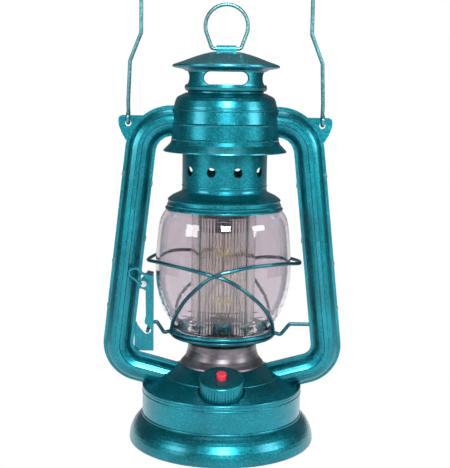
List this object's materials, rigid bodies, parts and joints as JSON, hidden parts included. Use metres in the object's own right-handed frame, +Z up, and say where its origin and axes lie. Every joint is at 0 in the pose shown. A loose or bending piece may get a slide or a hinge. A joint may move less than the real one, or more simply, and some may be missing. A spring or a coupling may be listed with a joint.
{
  "type": "battery lantern",
  "caption": "Barn lantern with pressed side tubes, lifting glass globe in a wire guard, fluted lamp tube, chimney hood, finger ring, wire bail and a push button in the filler cap.",
  "frame": {"origin": "centre of the foot's rim, on the ground it stands on", "axes": "+Z up through the globe and chimney, +X to the right tube, -Y to the front with the filler cap"},
  "size_m": [0.148, 0.115, 0.3358],
  "materials": {
    "teal_paint": "fine metallic lacquer, glossy, with small runs and nicks at the seams",
    "bare_steel": "bright zinc plate",
    "dark_wire": "lacquered steel wire, worn dark at its eyes",
    "gallery_metal": "satin silver-grey lacquer",
    "black_plastic": "fine satin moulding",
    "red_plastic": "polished moulding",
    "globe_glass": "clear blown glass with a faint grey tint",
    "clear_plastic": "clear moulded tube with vertical flutes",
    "board_green": "coated circuit board",
    "bead_yellow": "clear lamp bead with a yellow phosphor",
    "post_ivory": "ivory moulding",
    "cell_can": "plain wrapped can",
    "lead_red": "insulated lead",
    "lead_yellow": "insulated lead"
  },
  "bodies": {
    "frame": {"tank_shell": "teal_paint", "base_plate": "black_plastic", "cell_left": "cell_can", "cell_right": "cell_can", "contact_springs": "bare_steel", "contact_plates": "bare_steel", "filler_neck": "dark_wire", "filler_cap": "teal_paint", "switch_body": "black_plastic", "gallery": "gallery_metal", "lamp_board": "board_green", "board_screws": "bare_steel", "lamp_socket": "black_plastic", "lamp_post": "post_ivory", "lamp_beads": "bead_yellow", "lamp_tip": "black_plastic", "lens_tube": "clear_plastic", "lens_cap": "bare_steel", "lead_red": "lead_red", "lead_switch": "lead_yellow", "lead_black": "black_plastic", "tube_right_front": "teal_paint", "tube_right_rear": "teal_paint", "tube_left_front": "teal_paint", "tube_left_rear": "teal_paint", "hood": "teal_paint", "lever_rivet": "bare_steel"},
    "cover": {"battery_cover": "black_plastic"},
    "button": {"power_button": "red_plastic"},
    "lever": {"lift_lever": "teal_paint"},
    "carrier": {"carrier_wire": "dark_wire", "globe_plate": "teal_paint", "guard_wire_right": "dark_wire", "guard_wire_left": "dark_wire", "globe": "globe_glass"},
    "chimney": {"globe_collar": "teal_paint", "chimney_tube": "teal_paint", "cowl": "teal_paint", "dome": "teal_paint", "ring_strap": "teal_paint"},
    "ring": {"finger_ring": "teal_paint"},
    "bail": {"bail": "dark_wire"}
  },
  "joints": [
    {"name": "lever_swing", "type": "hinge", "parent": "frame", "child": "lever", "pos_m": [-0.04925, 0, 0.0975], "axis": [0, -1, 0], "range_deg": [0, 16]},
    {"name": "globe_lift", "type": "slide", "parent": "frame", "child": "carrier", "axis": [0, 0, 1], "range_m": [0, 0.008]},
    {"name": "chimney_lift", "type": "slide", "parent": "carrier", "child": "chimney", "axis": [0, 0, 1], "range_m": [0, 0.012]},
    {"name": "ring_swing", "type": "hinge", "parent": "chimney", "child": "ring", "pos_m": [0, 0, 0.24191], "axis": [1, 0, 0], "range_deg": [-85, 85]},
    {"name": "bail_swing", "type": "hinge", "parent": "frame", "child": "bail", "pos_m": [0, 0, 0.19981], "axis": [1, 0, 0], "range_deg": [-95, 95]},
    {"name": "button_press", "type": "slide", "parent": "frame", "child": "button", "axis": [0, 0.2756, -0.9613], "range_m": [0, 0.0022], "stiffness_N_per_m": 300},
    {"name": "cover_twist", "type": "hinge", "parent": "frame", "child": "cover", "pos_m": [0, 0, 0.0022], "axis": [0, 0, 1], "range_deg": [0, 25]}
  ],
  "couplings": [
    {"joint": "lever_swing", "follows": "globe_lift", "rad_per_m": 34.906}
  ]
}
